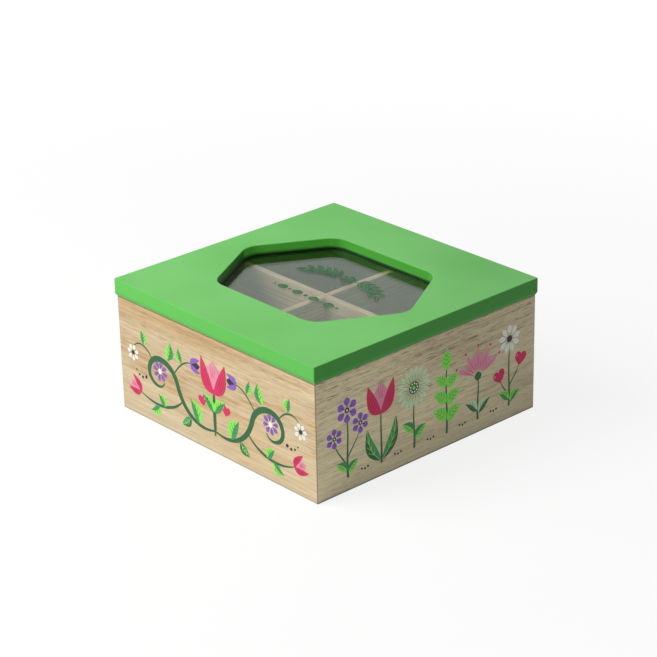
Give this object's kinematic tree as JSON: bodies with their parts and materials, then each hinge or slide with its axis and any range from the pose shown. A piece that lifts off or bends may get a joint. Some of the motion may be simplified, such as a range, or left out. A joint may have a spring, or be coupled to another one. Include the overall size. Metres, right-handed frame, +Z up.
{
  "type": "wooden compartment box",
  "caption": "Square wooden box divided into compartments, with a thick painted lid on butt hinges and a clear six-sided window let into the lid.",
  "frame": {"origin": "centre of the box's underside, on the surface that it stands on", "axes": "+Z up, +X along the front to the right as seen from the front, +Y to the back, where the hinges are"},
  "size_m": [0.165, 0.165, 0.0785],
  "materials": {
    "natural_wood": "sanded natural wood with a clear matt coat",
    "divider_wood": "sanded bare wood",
    "plywood": "thin plywood, sanded",
    "green_board": "board with satin green paint",
    "clear_pane": "clear polished sheet",
    "brass": "satin brass",
    "bright_steel": "bright drawn wire"
  },
  "bodies": {
    "box": {"front_wall": "natural_wood", "right_wall": "natural_wood", "back_wall": "natural_wood", "left_wall": "natural_wood", "bottom_panel": "plywood", "lengthwise_divider": "divider_wood", "crosswise_divider": "divider_wood", "bottom_brads": "bright_steel", "left_hinge_wall_leaf": "brass", "left_hinge_pin": "brass", "right_hinge_wall_leaf": "brass", "right_hinge_pin": "brass", "wall_leaf_screws": "brass"},
    "lid": {"lid_panel": "green_board", "window_pane": "clear_pane", "pane_retainer": "green_board", "retainer_pins": "bright_steel", "left_hinge_lid_leaf": "brass", "right_hinge_lid_leaf": "brass", "lid_leaf_screws": "brass"}
  },
  "joints": [
    {"name": "lid_hinge", "type": "hinge", "parent": "box", "child": "lid", "pos_m": [0, 0.0809, 0.0685], "axis": [-1, 0, 0], "range_deg": [0, 105]}
  ]
}
